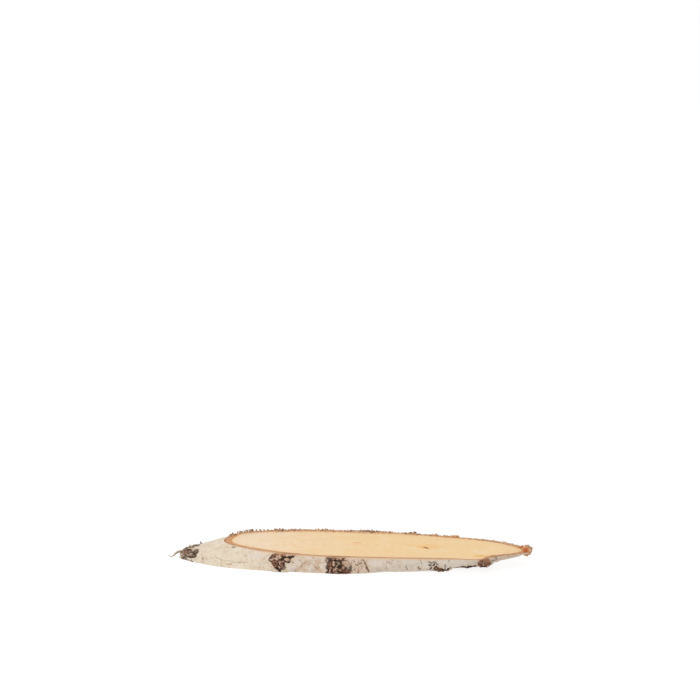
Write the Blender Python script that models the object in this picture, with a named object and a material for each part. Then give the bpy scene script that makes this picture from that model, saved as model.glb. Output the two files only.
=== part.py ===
"""A slice of birch trunk, sawn at a long slant, with its bark still on.

The trunk leans from the lower left to the upper right, and two level saw cuts
pass through it. Each cut is a long oval of bare wood inside a thin ring of bark.
The bark's upper side shows at the left tip, and its lower side overhangs at the
right tip. The slice grew as one piece, so it is one solid.
"""

import math

import bmesh
import bpy
import numpy as np
from mathutils import Vector, noise

# Driving dimensions, in metres, with angles in degrees.
THICKNESS = 0.015
TRUNK_RADIUS = 0.0406
SAW_ANGLE = 16.0  # between the saw cuts and the trunk's axis
BARK_AT_TIPS = 0.0026
BARK_AT_SIDES = 0.0036
PITH_FOOT = (-0.02645, 0.00266)  # where the trunk's axis meets the underside

# Angles round the trunk start at the left tip, on the trunk's upper side. They
# are negative along the front, and 180 is the right tip.
# Each swelling: angle, spread, rise at the underside, rise at the upper face.
SWELLINGS = (
    (-14, 26, -0.0004, 0.0020),
    (-24, 14, 0.0018, 0.0),
    (-60, 24, 0.0072, 0.0044),
    (-96, 18, 0.0042, -0.0004),
    (-131.5, 7.5, -0.0018, 0.0022),
    (-152, 10, -0.0007, -0.0012),
    (180, 13, 0.0026, 0.0018),
    (145, 14, 0.0006, 0.0006),
    (115, 22, -0.0024, -0.0024),
    (85, 20, -0.0006, -0.0006),
    (30, 18, 0.0007, 0.0026),
)

# Each scar of a lost branch: angle, height, half its length, half its height,
# how far it stands out.
SCARS = (
    (-66, 0.0085, 0.0095, 0.0085, 0.0016),
    (-61, 0.0140, 0.0100, 0.0030, 0.0010),
    (-87, 0.0080, 0.0130, 0.0095, 0.0020),
    (-125.5, 0.0070, 0.0050, 0.0080, 0.0012),
    (-141, 0.0015, 0.0085, 0.0035, 0.0026),
    (-154.5, 0.0010, 0.0070, 0.0018, 0.0008),
    (-163, 0.0056, 0.0090, 0.0070, 0.0042),
    (-14, 0.0035, 0.0120, 0.0045, 0.0024),
    (9, 0.0024, 0.0070, 0.0028, 0.0022),
    (62, 0.0080, 0.0100, 0.0080, 0.0018),
    (97, 0.0070, 0.0120, 0.0100, 0.0022),
    (131, 0.0090, 0.0070, 0.0060, 0.0014),
    (-164, 0.0115, 0.0160, 0.0060, 0.0020),
    (180, 0.0138, 0.0060, 0.0040, 0.0020),
)
SCAR_GRAIN = 260.0  # ridges of a scar's cork, per metre
SCAR_ROUGHNESS = 0.6  # share of the rise that the ridges take

# The saw left torn bark standing above the upper face: angle, height.
TORN_RIM = (
    (18, 0.0),
    (28, 0.0026),
    (44, 0.0026),
    (62, 0.0018),
    (100, 0.0018),
    (124, 0.0008),
    (155, 0.0005),
    (162, 0.0),
)
KNOB_ANGLE = 174.0  # the crumbled lump of bark at the right tip
KNOB_SPREAD = 11.0
KNOB_HEIGHT = 0.0052
CREST_INSET = 0.0012  # from the bark's face in to the torn crest

# A strip of bark peels off the left tip: points from its root, and its width.
STRIP_ROOT = (-4.0, 0.12)  # angle, level
STRIP_POINTS = (
    (-0.1718, -0.0058, 0.0036),
    (-0.1734, -0.0108, 0.0030),
    (-0.1749, -0.0147, 0.0018),
    (-0.1766, -0.0155, 0.0012),
    (-0.1785, -0.0144, 0.0015),
    (-0.1797, -0.0130, 0.0021),
)
STRIP_WIDTH = 0.0014

STATIONS = 300  # points round the rim
LEVELS = 10  # rows of faces up the bark

BARK_WHITE = (0.62, 0.57, 0.49, 1.0)
INNER_BARK = (0.50, 0.28, 0.15, 1.0)
SAWN_WOOD = (0.87, 0.62, 0.36, 1.0)


def clear_scene():
    for old in list(bpy.data.objects):
        bpy.data.objects.remove(old)


def turn_between(angle, other):
    """The difference of two angles in degrees, from -180 to 180."""
    return (angle - other + 180.0) % 360.0 - 180.0


def trunk_radius(angle, level):
    """Radius over the bark, where level is 0 at the underside and 1 at the upper face."""
    radius = TRUNK_RADIUS
    for centre, spread, rise_below, rise_above in SWELLINGS:
        fall = math.exp(-((turn_between(angle, centre) / spread) ** 2))
        radius += (rise_below + (rise_above - rise_below) * level) * fall
    return radius


def bark_thickness(angle):
    side = math.sin(math.radians(angle)) ** 2
    return BARK_AT_TIPS + (BARK_AT_SIDES - BARK_AT_TIPS) * side


def trunk_point(angle, level, depth=0.0):
    """The point on the level cut at this height, depth metres in from the bark's face."""
    turn, slant = math.radians(angle), math.radians(SAW_ANGLE)
    radius = trunk_radius(angle, level) - depth
    height = THICKNESS * level
    return Vector((
        PITH_FOOT[0] + height / math.tan(slant) - radius * math.cos(turn) / math.sin(slant),
        PITH_FOOT[1] + radius * math.sin(turn),
        height,
    ))


def outward(angle):
    """Square to the trunk's side."""
    turn, slant = math.radians(angle), math.radians(SAW_ANGLE)
    return Vector((
        -math.sin(slant) * math.cos(turn),
        math.sin(turn),
        math.cos(slant) * math.cos(turn),
    ))


def even_angles():
    """Angles in degrees that space the stations evenly along the long oval."""
    fine = np.radians(np.linspace(-180.0, 180.0, 3601))
    slant = math.radians(SAW_ANGLE)
    pace = np.hypot(np.sin(fine) / math.sin(slant), np.cos(fine))
    along = np.concatenate(([0.0], np.cumsum((pace[1:] + pace[:-1]) / 2)))
    wanted = np.linspace(0.0, along[-1], STATIONS, endpoint=False)
    return np.degrees(np.interp(wanted, along, fine))


def upright_angle(angle, level):
    """Slides a station round the trunk as it climbs, so that along the sides it stands upright."""
    along = math.cos(math.radians(angle))
    lean = THICKNESS * math.cos(math.radians(SAW_ANGLE)) / TRUNK_RADIUS
    along += lean * (level - 0.5) * (1.0 - along * along)
    return math.copysign(math.degrees(math.acos(along)), angle)


def scar_rise(point):
    """How far the bark stands out at this point, by the scars near it."""
    rise = 0.0
    for angle, height, half_length, half_height, stands in SCARS:
        away = point - trunk_point(angle, height / THICKNESS)
        reach = math.hypot(away.xy.length / half_length, away.z / half_height)
        if reach < 2.0:
            ridges = noise.turbulence(point * SCAR_GRAIN, 2, True)
            share = 1.0 - SCAR_ROUGHNESS + SCAR_ROUGHNESS * 2.0 * ridges
            rise = max(rise, stands * share * math.exp(-(reach**3)))
    return rise


def torn_height(angle, tooth):
    """How far the bark's rim stands above the upper face; tooth is 0 to 1."""
    knob = math.exp(-((turn_between(angle, KNOB_ANGLE) / KNOB_SPREAD) ** 4))
    torn = float(np.interp(angle, *zip(*TORN_RIM)))
    return max(torn * tooth, KNOB_HEIGHT * knob * (0.6 + 0.4 * tooth))


def round_blank():
    """A cylinder of unit radius and height, with its side in levels and its caps inset."""
    blank = bmesh.new()
    bmesh.ops.create_cone(
        blank, cap_ends=True, segments=STATIONS, radius1=1.0, radius2=1.0, depth=1.0
    )
    uprights = [e for e in blank.edges if abs(e.verts[0].co.z - e.verts[1].co.z) > 0.5]
    bmesh.ops.subdivide_edges(blank, edges=uprights, cuts=LEVELS - 1, use_grid_fill=True)
    blank.faces.ensure_lookup_table()
    upper = max(blank.faces, key=lambda face: face.calc_center_median().z)
    lower = min(blank.faces, key=lambda face: face.calc_center_median().z)
    # The insets are marks only: shape_blank sets their real depths.
    bmesh.ops.inset_region(blank, faces=[lower], thickness=0.2, use_even_offset=True)
    bmesh.ops.inset_region(blank, faces=[upper], thickness=0.1, use_even_offset=True)
    bmesh.ops.inset_region(blank, faces=[upper], thickness=0.1, use_even_offset=True)
    return blank


def shape_blank(blank):
    """Moves every point of the blank to its place on the slice."""
    angles = even_angles()
    teeth = np.random.default_rng(16).random(STATIONS)
    for vert in blank.verts:
        turn = math.atan2(vert.co.y, vert.co.x) / (2 * math.pi)
        station = round(turn * STATIONS) % STATIONS
        level = vert.co.z + 0.5
        angle = upright_angle(float(angles[station]), level)
        inset = 1.0 - vert.co.xy.length
        if inset > 0.15:
            vert.co = trunk_point(angle, round(level), bark_thickness(angle))
        elif inset > 0.05:
            vert.co = trunk_point(angle, 1.0, CREST_INSET)
            vert.co.z += torn_height(angle, float(teeth[station - 7]))
        else:
            place = trunk_point(angle, level)
            shift = outward(angle) * scar_rise(place)
            if level < 0.01 or level > 0.99:
                shift.z = 0.0
            shift.z = max(shift.z, -0.8 * place.z)
            vert.co = place + shift
            if level > 0.99:
                vert.co.z += torn_height(angle, float(teeth[station]))


def pull_out_strip(blank):
    """Draws the peeling strip out of the bark's face at the left tip."""
    root = trunk_point(*STRIP_ROOT)
    face = min(
        (f for f in blank.faces if abs(f.normal.z) < 0.99),
        key=lambda f: (f.calc_center_median() - root).length,
    )
    start = face.calc_center_median()
    heading = (Vector(STRIP_POINTS[0]) - start).normalized()
    for step, place in enumerate(STRIP_POINTS):
        face = bmesh.ops.extrude_discrete_faces(blank, faces=[face])["faces"][0]
        centre = face.calc_center_median()
        if step:
            heading = (Vector(place) - Vector(STRIP_POINTS[step - 1])).normalized()
        sideways = heading.cross(Vector((0, 0, 1))).normalized()
        upwards = sideways.cross(heading)
        width = STRIP_WIDTH * (1.0 - 0.6 * step / (len(STRIP_POINTS) - 1))
        spots = [
            (across * sideways + rise * upwards) * width / 2
            for across, rise in ((-1, -1), (1, -1), (1, 1), (-1, 1))
        ]
        for vert in face.verts:
            spot = min(spots, key=lambda s: ((vert.co - centre).normalized() - s.normalized()).length)
            spots.remove(spot)
            vert.co = Vector(place) + spot


def finish(name, colour, roughness):
    material = bpy.data.materials.new(name)
    material.use_nodes = True
    shader = material.node_tree.nodes["Principled BSDF"]
    shader.inputs["Base Color"].default_value = colour
    shader.inputs["Roughness"].default_value = roughness
    shader.inputs["Metallic"].default_value = 0.0
    return material


def paint(mesh):
    """White bark on the side, brown inner bark on the rims, and bare wood on the two cuts."""
    mesh.materials.append(finish("white_bark", BARK_WHITE, 0.75))
    mesh.materials.append(finish("inner_bark", INNER_BARK, 0.9))
    mesh.materials.append(finish("sawn_wood", SAWN_WOOD, 0.6))
    for polygon in mesh.polygons:
        if len(polygon.vertices) > 4:
            polygon.material_index = 2
        elif abs(polygon.normal.z) > 0.5 and abs(polygon.center.z - THICKNESS / 2) > 0.45 * THICKNESS:
            polygon.material_index = 1


def build_slice():
    blank = round_blank()
    shape_blank(blank)
    bmesh.ops.reverse_faces(blank, faces=blank.faces)
    blank.normal_update()
    pull_out_strip(blank)
    mesh = bpy.data.meshes.new("birch_slice")
    blank.to_mesh(mesh)
    blank.free()
    paint(mesh)
    mesh.shade_smooth()
    mesh.set_sharp_from_angle(angle=math.radians(40))
    return bpy.data.objects.new("birch_slice", mesh)


clear_scene()
wood_slice = bpy.data.collections.new("birch wood slice")
bpy.context.scene.collection.children.link(wood_slice)
wood_slice.objects.link(build_slice())
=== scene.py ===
import math

import bpy
import numpy as np
from mathutils import Matrix, Vector, noise


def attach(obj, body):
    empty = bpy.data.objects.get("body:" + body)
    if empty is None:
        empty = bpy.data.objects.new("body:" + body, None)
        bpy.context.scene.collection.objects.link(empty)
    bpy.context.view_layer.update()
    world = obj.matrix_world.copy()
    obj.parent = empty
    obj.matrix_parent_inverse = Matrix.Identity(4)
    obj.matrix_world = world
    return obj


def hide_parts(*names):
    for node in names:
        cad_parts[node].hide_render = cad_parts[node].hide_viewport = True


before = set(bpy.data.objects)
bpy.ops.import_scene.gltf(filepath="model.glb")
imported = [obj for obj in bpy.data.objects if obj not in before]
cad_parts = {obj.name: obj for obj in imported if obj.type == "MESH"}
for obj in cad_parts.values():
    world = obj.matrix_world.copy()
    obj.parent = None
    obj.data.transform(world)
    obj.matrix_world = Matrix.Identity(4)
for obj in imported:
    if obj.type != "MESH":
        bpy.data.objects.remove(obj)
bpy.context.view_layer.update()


# The bare wood: a length of young birch trunk, sawn through twice at a long slant and
# left unfinished. The trunk leans from the lower left to the upper right, so each level
# cut is a long oval, with the growth rings round a pith that lies off the middle.
THICKNESS = 0.015
TRUNK_RADIUS = 0.0406
SAW_SLANT = math.radians(16.0)
LEANING = (0, SAW_SLANT, 0)  # turns a pattern to run along the trunk
PITH_FOOT = (-0.02645, 0.00266)
# Each swelling of the trunk: angle, spread, rise at the underside, rise at the upper face.
SWELLINGS = (
    (-14, 26, -0.0004, 0.0020), (-24, 14, 0.0026, 0.0), (2, 7, -0.0009, 0.0), (-16, 9, -0.0014, 0.0),
    (-60, 24, 0.0072, 0.0044), (-96, 18, 0.0042, -0.0004), (-117, 7, -0.0024, 0.0),
    (-131.5, 7.5, -0.0004, 0.0022), (-152, 10, -0.0007, -0.0012), (180, 13, 0.0026, 0.0018),
    (145, 14, 0.0006, 0.0006), (115, 22, -0.0024, -0.0024), (85, 20, -0.0006, -0.0006),
    (30, 18, 0.0007, 0.0026),
)
# How thick the whole bark is round the wood, and how much more it has along the front.
BARK_AT_TIPS = 0.0026
BARK_AT_SIDES = 0.0036
THICKER_IN_FRONT = 0.0025
FRONT_MIDDLE = -82.0
FRONT_SPREAD = 48.0
# Where the bark is thinner, or thicker if below 0: angle, spread, and by how much.
THIN_BARK = ((42, 26, 0.0019), (82, 16, -0.0028), (-134, 7, 0.0026))
WOOD_STATIONS = 640
WOOD_SHARES = (0.04, 0.12, 0.24, 0.38, 0.52, 0.66, 0.78, 0.88, 0.95, 1.0)  # from the middle to the bark
SAW_WAVE = 0.00007
SAW_WAVE_LENGTH = 0.006
RING_CENTRE = (0.0757, -0.0006, THICKNESS)  # the pith on the upper face
RING_WIDTH = 0.0025
RING_WANDER = 4.2
# Each stain: centre, turn in the plane, length and width, colour, and how strong it is.
STAINS = (
    ((0.0780, 0.0040), -0.15, 0.0130, 0.0080, (243, 194, 132), 0.55),
    ((0.0745, -0.0005), -0.10, 0.0100, 0.0024, (240, 188, 122), 0.6),
    ((0.0620, 0.0060), -0.35, 0.0200, 0.0026, (240, 198, 138), 0.55),
    ((0.0069, 0.0065), -0.05, 0.0060, 0.0012, (224, 162, 106), 0.85),
    ((0.0040, 0.0010), 0.0, 0.0110, 0.0030, (243, 196, 146), 0.5),
    ((0.1295, -0.0187), 0.08, 0.0076, 0.0042, (240, 190, 112), 0.75),
    ((0.1305, -0.0170), 0.25, 0.0028, 0.0010, (208, 162, 84), 0.75),
    ((0.0752, -0.0001), -0.60, 0.0050, 0.0021, (214, 160, 88), 0.8),
    ((0.0759, -0.0008), -0.71, 0.0030, 0.0013, (124, 90, 44), 1.0),
)
ROOM_LIGHT = 1.2  # how much brighter the room shows a surface than its own colour


def near(angle, centre, spread, power=2):
    """1 at the centre, falling to 0 past the spread, and more sharply by a higher power."""
    away = (angle - centre + 180.0) % 360.0 - 180.0
    return np.exp(-((away / spread) ** power))


def trunk_radius(angle, level):
    """Radius over the bark, where level is 0 at the underside and 1 at the upper face."""
    radius = TRUNK_RADIUS
    for centre, spread, below, above in SWELLINGS:
        radius = radius + (below + (above - below) * level) * near(angle, centre, spread)
    return radius


def along_front(angle):
    """1 along the middle of the front, falling to 0 towards both tips."""
    return near(angle, FRONT_MIDDLE, FRONT_SPREAD, 4)


def bark_thickness(angle):
    """How thick the whole bark is round the wood, white skin and inner bark together."""
    thick = BARK_AT_TIPS + (BARK_AT_SIDES - BARK_AT_TIPS) * np.sin(np.radians(angle)) ** 2
    for centre, spread, thinner in THIN_BARK:
        thick = thick - thinner * near(angle, centre, spread)
    return thick + THICKER_IN_FRONT * along_front(angle)


def trunk_point(angle, level, depth=0.0):
    """Points on the level cut at this height, depth metres in from the bark's face."""
    turn = np.radians(angle)
    radius = trunk_radius(angle, level) - depth
    height = THICKNESS * level + 0.0 * turn
    x = PITH_FOOT[0] + height / math.tan(SAW_SLANT) - radius * np.cos(turn) / math.sin(SAW_SLANT)
    return np.stack((x, PITH_FOOT[1] + radius * np.sin(turn), height), axis=-1)


def even_angles(count):
    """Angles in degrees that space the stations evenly along the long oval."""
    fine = np.radians(np.linspace(-180.0, 180.0, 3601))
    pace = np.hypot(np.sin(fine) / math.sin(SAW_SLANT), np.cos(fine))
    along = np.concatenate(([0.0], np.cumsum((pace[1:] + pace[:-1]) / 2)))
    return np.degrees(np.interp(np.linspace(0.0, along[-1], count, endpoint=False), along, fine))


def upright_angle(angle, level):
    """Slides a station round the trunk as it climbs, so that along the sides it stands upright."""
    along = np.cos(np.radians(angle))
    lean = THICKNESS * math.cos(SAW_SLANT) / TRUNK_RADIUS
    along = along + lean * (level - 0.5) * (1.0 - along * along)
    return np.copysign(np.degrees(np.arccos(np.clip(along, -1.0, 1.0))), angle)


def lumps(points, size, depth=1, offset=0.0):
    """Smooth noise from -1 to 1 at each point, in lumps of this size in metres."""
    shift = Vector((offset, offset * 0.7, -offset))
    spots = [Vector(p) / size + shift for p in points.reshape(-1, 3).tolist()]
    if depth == 1:
        values = [noise.noise(spot) for spot in spots]
    else:
        values = [noise.fractal(spot, 0.9, 2.1, depth) for spot in spots]
    return np.array(values).reshape(points.shape[:-1])


def skin(name, rows, finish, marks, closed=False):
    """A mesh over rows of points that run round the trunk. Open rows end in two poles."""
    count, stations = rows.shape[:2]
    index = np.arange(count * stations).reshape(count, stations)
    here, above = (index, np.roll(index, -1, axis=0)) if closed else (index[:-1], index[1:])
    quads = np.stack((here, above, np.roll(above, -1, axis=1), np.roll(here, -1, axis=1)), axis=-1)
    points, faces = rows.reshape(-1, 3), quads.reshape(-1, 4).tolist()
    if not closed:
        middle = len(points)
        points = np.concatenate((points, [rows[0].mean(axis=0), rows[-1].mean(axis=0)]))
        first, last = index[0], index[-1]
        faces += [(middle, a, b) for a, b in zip(first.tolist(), np.roll(first, -1).tolist())]
        faces += [(middle + 1, b, a) for a, b in zip(last.tolist(), np.roll(last, -1).tolist())]
    mesh = bpy.data.meshes.new(name)
    mesh.from_pydata(points.tolist(), [], faces)
    for mark, values in marks.items():
        flat = values.reshape(-1)
        if not closed:
            flat = np.concatenate((flat, [values[0].mean(), values[-1].mean()]))
        mesh.attributes.new(mark, "FLOAT", "POINT").data.foreach_set("value", flat)
    mesh.shade_smooth()
    mesh.set_sharp_from_angle(angle=math.radians(60))
    mesh.materials.append(finish.material)
    piece = bpy.data.objects.new(name, mesh)
    bpy.context.scene.collection.objects.link(piece)
    return piece


def seen(red, green, blue):
    """The share of light that a surface sends back to look this colour on a screen, 0 to 255."""
    linear = [((c / 255 + 0.055) / 1.055) ** 2.4 for c in (red, green, blue)]
    return (*(c / ROOM_LIGHT for c in linear), 1.0)


def wire(tree, kind, inputs, out=0, **settings):
    """Adds a node to the tree, sets or links its inputs, and returns one of its outputs."""
    node = tree.nodes.new(kind)
    for key, value in settings.items():
        setattr(node, key, value)
    for socket, value in inputs.items():
        if isinstance(value, bpy.types.NodeSocket):
            tree.links.new(value, node.inputs[socket])
        else:
            node.inputs[socket].default_value = value
    return node.outputs[out]


class Finish:
    """A material written out as nodes, with a coat of colour that is painted on in layers."""

    def __init__(self, name, roughness, gloss):
        self.material = bpy.data.materials.new(name)
        self.material.use_nodes = True
        self.tree = self.material.node_tree
        self.shader = self.tree.nodes["Principled BSDF"]
        self.shader.inputs["Roughness"].default_value = roughness
        self.shader.inputs["Specular IOR Level"].default_value = gloss
        self.coat = None

    def add(self, kind, inputs, out=0, **settings):
        return wire(self.tree, "ShaderNode" + kind, inputs, out, **settings)

    def place(self, centre=(0, 0, 0), turn=(0, 0, 0), stretch=(1, 1, 1)):
        """Where the point lies, measured from a centre, then turned, then stretched."""
        spot = self.add("TexCoord", {}, out="Object")
        moved = self.add("Mapping", {"Vector": spot, "Location": [-c for c in centre]})
        turned = self.add("Mapping", {"Vector": moved, "Rotation": turn})
        return self.add("Mapping", {"Vector": turned, "Scale": stretch})

    def split(self, where):
        node = self.tree.nodes.new("ShaderNodeSeparateXYZ")
        self.tree.links.new(where, node.inputs[0])
        return node.outputs

    def far(self, where):
        return self.add("VectorMath", {0: where}, out="Value", operation="LENGTH")

    def clouds(self, where, size, detail=3.0, roughness=0.55, warp=0.0):
        grain = {"Scale": 1 / size, "Detail": detail, "Roughness": roughness, "Distortion": warp}
        return self.add("TexNoise", {"Vector": where, **grain})

    def cells(self, where, size):
        return self.add("TexVoronoi", {"Vector": where, "Scale": 1 / size})

    def mark(self, name):
        return self.add("Attribute", {}, out="Fac", attribute_name=name, attribute_type="GEOMETRY")

    def plus(self, a, b):
        return self.add("Math", {0: a, 1: b}, operation="ADD")

    def times(self, a, b):
        return self.add("Math", {0: a, 1: b}, operation="MULTIPLY")

    def waver(self, value, clouds, strength):
        """The value, raised and lowered by clouds that run from 0 to 1."""
        return self.plus(value, self.times(self.plus(clouds, -0.5), strength))

    def step(self, value, low, high, start=0.0, end=1.0):
        """Goes softly from start, where the value is low, to end, where it is high."""
        inputs = {"Value": value, "From Min": low, "From Max": high, "To Min": start, "To Max": end}
        return self.add("MapRange", inputs, clamp=True, interpolation_type="SMOOTHSTEP")

    def ramp(self, value, *stops):
        """A colour by the value; each stop is a place from 0 to 1, then red, green and blue on a screen."""
        node = self.tree.nodes.new("ShaderNodeValToRGB")
        self.tree.links.new(value, node.inputs["Fac"])
        elements = node.color_ramp.elements
        while len(elements) < len(stops):
            elements.new(0.5)
        for element, (position, *colour) in zip(elements, stops):
            element.position = position
            element.color = seen(*colour)
        return node.outputs["Color"]

    def mix(self, share, under, over):
        return self.add("Mix", {"Factor": share, 6: under, 7: over}, out=2, data_type="RGBA")

    def paint(self, share, colour, strength=1.0):
        """Lays a colour over the coat: three numbers as on a screen, or a pattern of colours."""
        over = seen(*colour) if isinstance(colour, tuple) else colour
        share = share if strength == 1.0 else self.times(share, strength)
        self.coat = self.mix(share, self.coat, over)

    def tint(self, value, low, high, strength, colour):
        """Lays a colour over the coat: none of it where the value is low, and all where it is high."""
        self.paint(self.step(value, low, high), colour, strength)

    def done(self, relief, distance, strength):
        """Shows the coat, and lets the relief catch the light."""
        bump = self.add("Bump", {"Height": relief, "Distance": distance, "Strength": strength})
        self.tree.links.new(self.coat, self.shader.inputs["Base Color"])
        self.tree.links.new(bump, self.shader.inputs["Normal"])


def wood_rows():
    """Rows of the wood from the middle of the underside out, up its side, and in over the upper face."""
    angles = even_angles(WOOD_STATIONS)
    rows, near_bark = [], []
    for level, shares in ((0.0, WOOD_SHARES), (0.5, WOOD_SHARES[-1:]), (1.0, WOOD_SHARES[::-1])):
        edge_angle = upright_angle(angles, level)
        edge = trunk_point(edge_angle, level, bark_thickness(edge_angle))
        centre = (PITH_FOOT[0] + THICKNESS * level / math.tan(SAW_SLANT), PITH_FOOT[1], THICKNESS * level)
        for share in shares:
            rows.append(edge * share + np.array(centre) * (1 - share))
            rows[-1][:, 2] = THICKNESS * level
            near_bark.append(np.full(len(angles), share))
    rows = np.array(rows)
    height = rows[:, :, 2]
    wave = SAW_WAVE * lumps(rows * (1.0, 0.25, 1.0), SAW_WAVE_LENGTH)
    rows[:, :, 2] += np.where(height > 0.9 * THICKNESS, wave, np.where(height == 0.0, abs(wave), 0.0))
    return rows, {"near_bark": np.array(near_bark)}


sawn_wood = Finish("sawn_wood", roughness=0.62, gloss=0.25)
fibres = sawn_wood.clouds(sawn_wood.place(RING_CENTRE, LEANING, (0.05, 1, 1)), 0.0011, 4, 0.65)
wander = sawn_wood.clouds(sawn_wood.place(RING_CENTRE, LEANING, (0.12, 1, 1)), 0.016, 2)
blotch = sawn_wood.clouds(sawn_wood.place(stretch=(0.5, 1, 1)), 0.012, 4)
from_pith = sawn_wood.far(sawn_wood.place(RING_CENTRE, LEANING, (0, 1, 1)))
rings = sawn_wood.plus(sawn_wood.times(from_pith, 1 / RING_WIDTH), sawn_wood.times(wander, RING_WANDER))
ring = sawn_wood.add("Math", {0: rings}, operation="FRACT")
late_wood = sawn_wood.times(sawn_wood.step(ring, 0.35, 0.95), sawn_wood.step(ring, 1.0, 0.95))
along, _, upward = sawn_wood.split(sawn_wood.place())
sawn_wood.coat = sawn_wood.mix(sawn_wood.step(along, -0.13, 0.03), seen(243, 221, 192), seen(244, 210, 158))
sawn_wood.tint(blotch, 0.42, 0.72, 0.5, (242, 202, 146))
sawn_wood.tint(blotch, 0.44, 0.28, 0.4, (245, 221, 188))
sawn_wood.tint(sawn_wood.mark("near_bark"), 0.88, 1.0, 0.45, (243, 203, 162))
sawn_wood.paint(late_wood, (226, 180, 124), 0.15)
sawn_wood.tint(fibres, 0.50, 0.72, 0.30, (224, 186, 134))
sawn_wood.tint(fibres, 0.50, 0.30, 0.28, (250, 228, 194))
on_top = sawn_wood.step(upward, 0.007, 0.010)
for centre, turn, length, width, colour, strength in STAINS:
    there = sawn_wood.place((*centre, 0), (0, 0, -turn), (1 / length, 1 / width, 0))
    away = sawn_wood.waver(sawn_wood.far(there), fibres, 0.8)
    sawn_wood.paint(sawn_wood.step(away, 1.25, 0.55, 0.0, strength), colour, on_top)
sawn_wood.done(fibres, 0.0002, 0.5)

rows, marks = wood_rows()
wood = skin("sawn_wood", rows, sawn_wood, marks)
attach(wood, "root")
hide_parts("birch_slice")


# The inner bark: the corky orange-brown layer between the wood and the white skin. The
# saw left it smooth at the front and tore it up along the back, and at the right tip it
# stands up higher round the lump there.
RIM_STATIONS = 1400
RIM_SHARES = (0.0, 0.12, 0.24, 0.36, 0.5, 0.64, 0.8, 1.0)  # from the white skin to the wood
INTO_THE_WOOD = 0.0002
SKIN = 0.0004  # thickness of the white outer bark at the rim
SKIN_BELOW = 0.0010  # and down the sides, where dents and cracks run into it
CRUMB = 0.0016
CLUMP = 0.004
CRUMB_RISE = 0.00025
# How far the torn rim may stand above the cut: angle, and height in metres.
TORN_RIM = ((18, 0.0), (26, 0.0014), (40, 0.0020), (60, 0.0022), (104, 0.0018),
            (120, 0.0010), (155, 0.0018), (168, 0.0014), (172, 0.0))
FULLY_TORN = 0.0018
KNOB_ANGLE = 176.5
KNOB_SPREAD = 9.0
KNOB_HEIGHT = 0.0038
# Where a scar or the right tip browns the rim: angle and half its spread.
SCARRED_RIM = ((-57, 4.5), (-77, 4.5), (-135, 6), (-155, 10), (148, 18))


def torn_height(angle):
    """How far the torn rim may stand above the upper face, and how much of the knob is here."""
    heights = np.array(TORN_RIM)
    return np.interp(angle, heights[:, 0], heights[:, 1]), near(angle, KNOB_ANGLE, KNOB_SPREAD, 4)


def rim_rows():
    """Rows of the inner bark: up under the white skin, over the rim, down beside the wood, out below."""
    angles = even_angles(RIM_STATIONS)
    course = [(level, 0.0) for level in (0.0, 0.5, 0.93, 0.97)]
    course += [(1.0, share) for share in RIM_SHARES]
    course += [(0.5, 1.0)] + [(0.0, share) for share in RIM_SHARES[:0:-1]]
    scarred = sum(near(upright_angle(angles, 1.0), centre, half, 4) for centre, half in SCARRED_RIM)
    rows = []
    marks = {"torn": [], "knob": [], "edge": [], "front": [], "scarred": []}
    for level, share in course:
        angle = upright_angle(angles, level)
        outside = 0.6 * SKIN if level > 0.95 else 1.1 * SKIN_BELOW
        row = trunk_point(angle, level, outside + share * (bark_thickness(angle) + INTO_THE_WOOD - outside))
        torn, knob = torn_height(angle)
        if level == 1.0:
            arch = math.sin(math.pi * min(share + 0.12, 1.0)) ** 0.7
            crumb = lumps(row, CRUMB, 3) * 0.5 + 0.5
            clump = np.clip(lumps(row * (1, 1, 0), CLUMP, 1, 5.0) * 1.4 + 0.55, 0.0, 1.0)
            row[:, 2] += torn * arch * (0.15 + 0.45 * crumb * clump)
            row[:, 2] += KNOB_HEIGHT * knob * arch * (0.35 + 0.7 * crumb)
            row[:, 2] += CRUMB_RISE * (crumb - 0.6) * arch
        rows.append(row)
        marks["torn"].append(np.clip(torn / FULLY_TORN, 0, 1) * (level > 0.9))
        marks["knob"].append(knob * (level > 0.9))
        marks["edge"].append(np.full(len(angles), share))
        marks["front"].append(along_front(angle))
        marks["scarred"].append(scarred)
    return np.array(rows), {name: np.array(mark) for name, mark in marks.items()}


inner_bark = Finish("inner_bark", roughness=0.85, gloss=0.15)
crumbs = inner_bark.clouds(inner_bark.place(), 0.0016, 4, 0.65)
flecks = inner_bark.cells(inner_bark.place(), 0.0011)
layers = inner_bark.clouds(inner_bark.place(stretch=(0.4, 1, 1)), 0.003, 3)
edge = inner_bark.mark("edge")
sawn_across = inner_bark.ramp(inner_bark.waver(edge, crumbs, 0.5), (0.0, 224, 194, 162),
                              (0.35, 228, 194, 158), (0.5, 202, 162, 124), (0.7, 188, 146, 106),
                              (0.88, 204, 160, 116), (1.0, 236, 196, 148))
torn_colour = inner_bark.ramp(crumbs, (0.28, 150, 110, 80), (0.42, 208, 160, 118), (0.58, 234, 196, 156),
                              (0.75, 232, 214, 192))
knob_colour = inner_bark.ramp(crumbs, (0.3, 150, 82, 44), (0.5, 190, 120, 76), (0.7, 214, 150, 108))
inner_bark.coat = inner_bark.ramp(inner_bark.waver(crumbs, layers, 0.6), (0.25, 140, 86, 54),
                                  (0.42, 196, 138, 98), (0.55, 220, 168, 128), (0.72, 232, 192, 156))
inner_bark.tint(edge, 0.40, 0.05, 0.8, (158, 108, 76))
inner_bark.tint(edge, 0.62, 0.85, 0.7, (214, 160, 88))
inner_bark.paint(inner_bark.mark("front"), sawn_across, 0.9)
inner_bark.paint(inner_bark.mark("torn"), torn_colour)
inner_bark.paint(inner_bark.mark("knob"), knob_colour)
inner_bark.tint(edge, 0.84, 1.0, 0.7, (236, 188, 132))
inner_bark.tint(flecks, 0.16, 0.05, 0.45, (110, 62, 40))
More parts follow.
